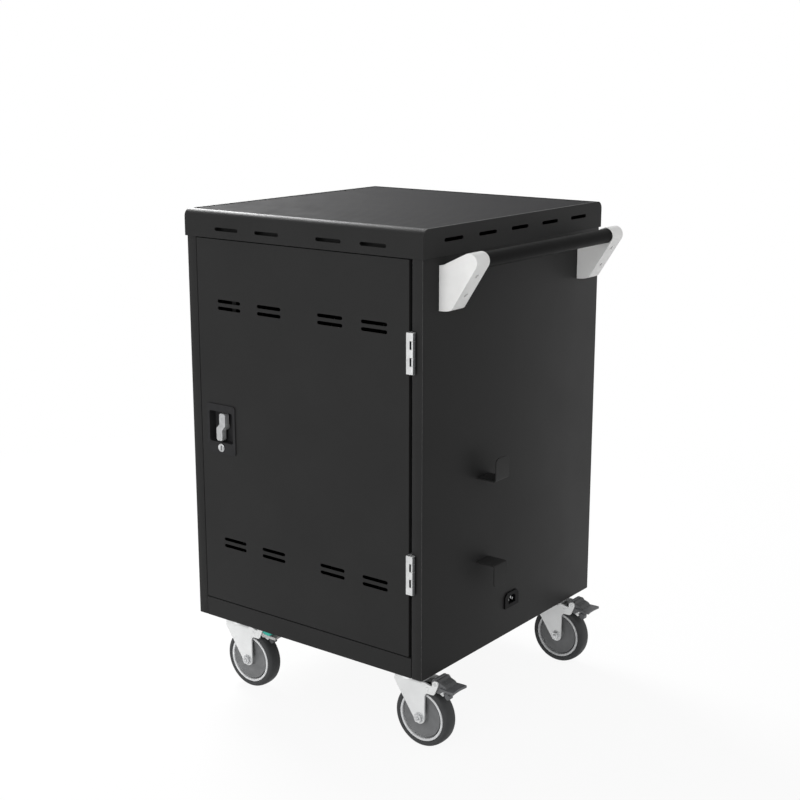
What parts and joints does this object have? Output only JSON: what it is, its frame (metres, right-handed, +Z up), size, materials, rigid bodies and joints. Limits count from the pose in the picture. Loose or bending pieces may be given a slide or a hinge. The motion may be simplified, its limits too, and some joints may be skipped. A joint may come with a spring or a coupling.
{
  "type": "laptop charging cart",
  "caption": "Sheet-steel charging cabinet on braked swivel casters, with a hinged front door locked by a twist handle and rods, rear service door, push handle and cord hooks.",
  "frame": {"origin": "on the floor, in the middle of the cart's footprint, handle included", "axes": "+Z up, front door faces -Y, push handle on +X"},
  "size_m": [0.6638, 0.6354, 1.004],
  "materials": {
    "powder_coat": "fine-textured black powder coat",
    "rubber_mat": "ribbed rubber",
    "black_plastic": "moulded, satin",
    "satin_cast": "die-cast, satin",
    "zinc_plate": "bright zinc plate",
    "chrome_plate": "polished",
    "grey_plastic": "moulded, light grey",
    "tube_coat": "black powder coat",
    "hub_plastic": "moulded, mid grey",
    "tyre_rubber": "smooth dark grey tread",
    "pedal_plastic": "moulded, dark grey"
  },
  "bodies": {
    "chassis": {"side_panel_left": "powder_coat", "side_panel_right": "powder_coat", "base_pan": "powder_coat", "header_front": "powder_coat", "header_rear": "powder_coat", "top_tray": "powder_coat", "cord_hook_upper": "powder_coat", "cord_hook_lower": "powder_coat", "inlet_cover": "powder_coat", "lower_deck": "powder_coat", "middle_shelf": "powder_coat", "partition": "powder_coat", "adapter_shelf_lower": "powder_coat", "adapter_shelf_upper": "powder_coat", "top_mat": "rubber_mat", "mains_inlet": "black_plastic", "divider_rack_lower": "black_plastic", "divider_rack_upper": "black_plastic", "outlet_strip_lower": "black_plastic", "outlet_strip_upper": "black_plastic", "handle_bracket_front": "grey_plastic", "handle_bracket_rear": "grey_plastic", "handle_tube": "tube_coat", "front_hinge_frame_leaf_lower": "zinc_plate", "front_hinge_frame_leaf_upper": "zinc_plate", "rear_hinge_frame_leaf_lower": "zinc_plate", "rear_hinge_frame_leaf_upper": "zinc_plate", "caster_plate_front_left": "zinc_plate", "caster_plate_front_right": "zinc_plate", "caster_plate_rear_left": "zinc_plate", "caster_plate_rear_right": "zinc_plate"},
    "front_door": {"front_door": "powder_coat", "latch_plate": "black_plastic", "front_hinge_door_leaf_lower": "zinc_plate", "front_hinge_door_leaf_upper": "zinc_plate"},
    "latch": {"latch_handle": "satin_cast", "latch_crank": "zinc_plate"},
    "lock_plug": {"lock_plug": "chrome_plate"},
    "lock_rod_upper": {"lock_rod_upper": "powder_coat"},
    "lock_rod_lower": {"lock_rod_lower": "powder_coat"},
    "rear_door": {"rear_door": "powder_coat", "rear_hinge_door_leaf_lower": "zinc_plate", "rear_hinge_door_leaf_upper": "zinc_plate"},
    "rear_lock": {"rear_lock": "chrome_plate"},
    "fork_front_left": {"fork_front_left": "zinc_plate"},
    "wheel_front_left": {"hub_front_left": "hub_plastic", "tyre_front_left": "tyre_rubber"},
    "pedal_front_left": {"brake_pedal_front_left": "pedal_plastic"},
    "fork_front_right": {"fork_front_right": "zinc_plate"},
    "wheel_front_right": {"hub_front_right": "hub_plastic", "tyre_front_right": "tyre_rubber"},
    "pedal_front_right": {"brake_pedal_front_right": "pedal_plastic"},
    "fork_rear_left": {"fork_rear_left": "zinc_plate"},
    "wheel_rear_left": {"hub_rear_left": "hub_plastic", "tyre_rear_left": "tyre_rubber"},
    "pedal_rear_left": {"brake_pedal_rear_left": "pedal_plastic"},
    "fork_rear_right": {"fork_rear_right": "zinc_plate"},
    "wheel_rear_right": {"hub_rear_right": "hub_plastic", "tyre_rear_right": "tyre_rubber"},
    "pedal_rear_right": {"brake_pedal_rear_right": "pedal_plastic"}
  },
  "joints": [
    {"name": "front_door_hinge", "type": "hinge", "parent": "chassis", "child": "front_door", "pos_m": [0.23292, -0.3133, 0.5742], "axis": [0, 0, 1], "range_deg": [0, 180]},
    {"name": "latch_turn", "type": "hinge", "parent": "front_door", "child": "latch", "pos_m": [-0.24878, -0.3085, 0.5712], "axis": [0, -1, 0], "range_deg": [0, 90]},
    {"name": "lock_rod_upper_slide", "type": "slide", "parent": "front_door", "child": "lock_rod_upper", "axis": [0, 0, 1], "range_m": [0, 0.03395]},
    {"name": "lock_rod_lower_slide", "type": "slide", "parent": "front_door", "child": "lock_rod_lower", "axis": [0, 0, -1], "range_m": [0, 0.03395]},
    {"name": "lock_plug_turn", "type": "hinge", "parent": "front_door", "child": "lock_plug", "pos_m": [-0.24878, -0.3085, 0.5287], "axis": [0, -1, 0], "range_deg": [0, 90]},
    {"name": "rear_door_hinge", "type": "hinge", "parent": "chassis", "child": "rear_door", "pos_m": [-0.31188, 0.3133, 0.5742], "axis": [0, 0, 1], "range_deg": [0, 180]},
    {"name": "rear_lock_turn", "type": "hinge", "parent": "rear_door", "child": "rear_lock", "pos_m": [0.19782, 0.3085, 0.5742], "axis": [0, 1, 0], "range_deg": [0, 90]},
    {"name": "swivel_front_left", "type": "hinge", "parent": "chassis", "child": "fork_front_left", "pos_m": [-0.26348, -0.2515, 0.14], "axis": [0, 0, 1], "continuous": true},
    {"name": "wheel_front_left", "type": "hinge", "parent": "fork_front_left", "child": "wheel_front_left", "pos_m": [-0.22848, -0.2515, 0.0625], "axis": [0, 1, 0], "continuous": true},
    {"name": "pedal_front_left", "type": "hinge", "parent": "fork_front_left", "child": "pedal_front_left", "pos_m": [-0.19148, -0.2515, 0.14], "axis": [0, 1, 0], "range_deg": [0, 10]},
    {"name": "swivel_front_right", "type": "hinge", "parent": "chassis", "child": "fork_front_right", "pos_m": [0.18452, -0.2515, 0.14], "axis": [0, 0, 1], "continuous": true},
    {"name": "wheel_front_right", "type": "hinge", "parent": "fork_front_right", "child": "wheel_front_right", "pos_m": [0.21952, -0.2515, 0.0625], "axis": [0, 1, 0], "continuous": true},
    {"name": "pedal_front_right", "type": "hinge", "parent": "fork_front_right", "child": "pedal_front_right", "pos_m": [0.25652, -0.2515, 0.14], "axis": [0, 1, 0], "range_deg": [0, 10]},
    {"name": "swivel_rear_left", "type": "hinge", "parent": "chassis", "child": "fork_rear_left", "pos_m": [-0.26348, 0.2515, 0.14], "axis": [0, 0, 1], "continuous": true},
    {"name": "wheel_rear_left", "type": "hinge", "parent": "fork_rear_left", "child": "wheel_rear_left", "pos_m": [-0.22848, 0.2515, 0.0625], "axis": [0, 1, 0], "continuous": true},
    {"name": "pedal_rear_left", "type": "hinge", "parent": "fork_rear_left", "child": "pedal_rear_left", "pos_m": [-0.19148, 0.2515, 0.14], "axis": [0, 1, 0], "range_deg": [0, 10]},
    {"name": "swivel_rear_right", "type": "hinge", "parent": "chassis", "child": "fork_rear_right", "pos_m": [0.18452, 0.2515, 0.14], "axis": [0, 0, 1], "continuous": true},
    {"name": "wheel_rear_right", "type": "hinge", "parent": "fork_rear_right", "child": "wheel_rear_right", "pos_m": [0.21952, 0.2515, 0.0625], "axis": [0, 1, 0], "continuous": true},
    {"name": "pedal_rear_right", "type": "hinge", "parent": "fork_rear_right", "child": "pedal_rear_right", "pos_m": [0.25652, 0.2515, 0.14], "axis": [0, 1, 0], "range_deg": [0, 10]}
  ],
  "couplings": [
    {"joint": "lock_rod_upper_slide", "follows": "latch_turn", "m_per_rad": 0.021608},
    {"joint": "lock_rod_lower_slide", "follows": "latch_turn", "m_per_rad": 0.021608}
  ]
}
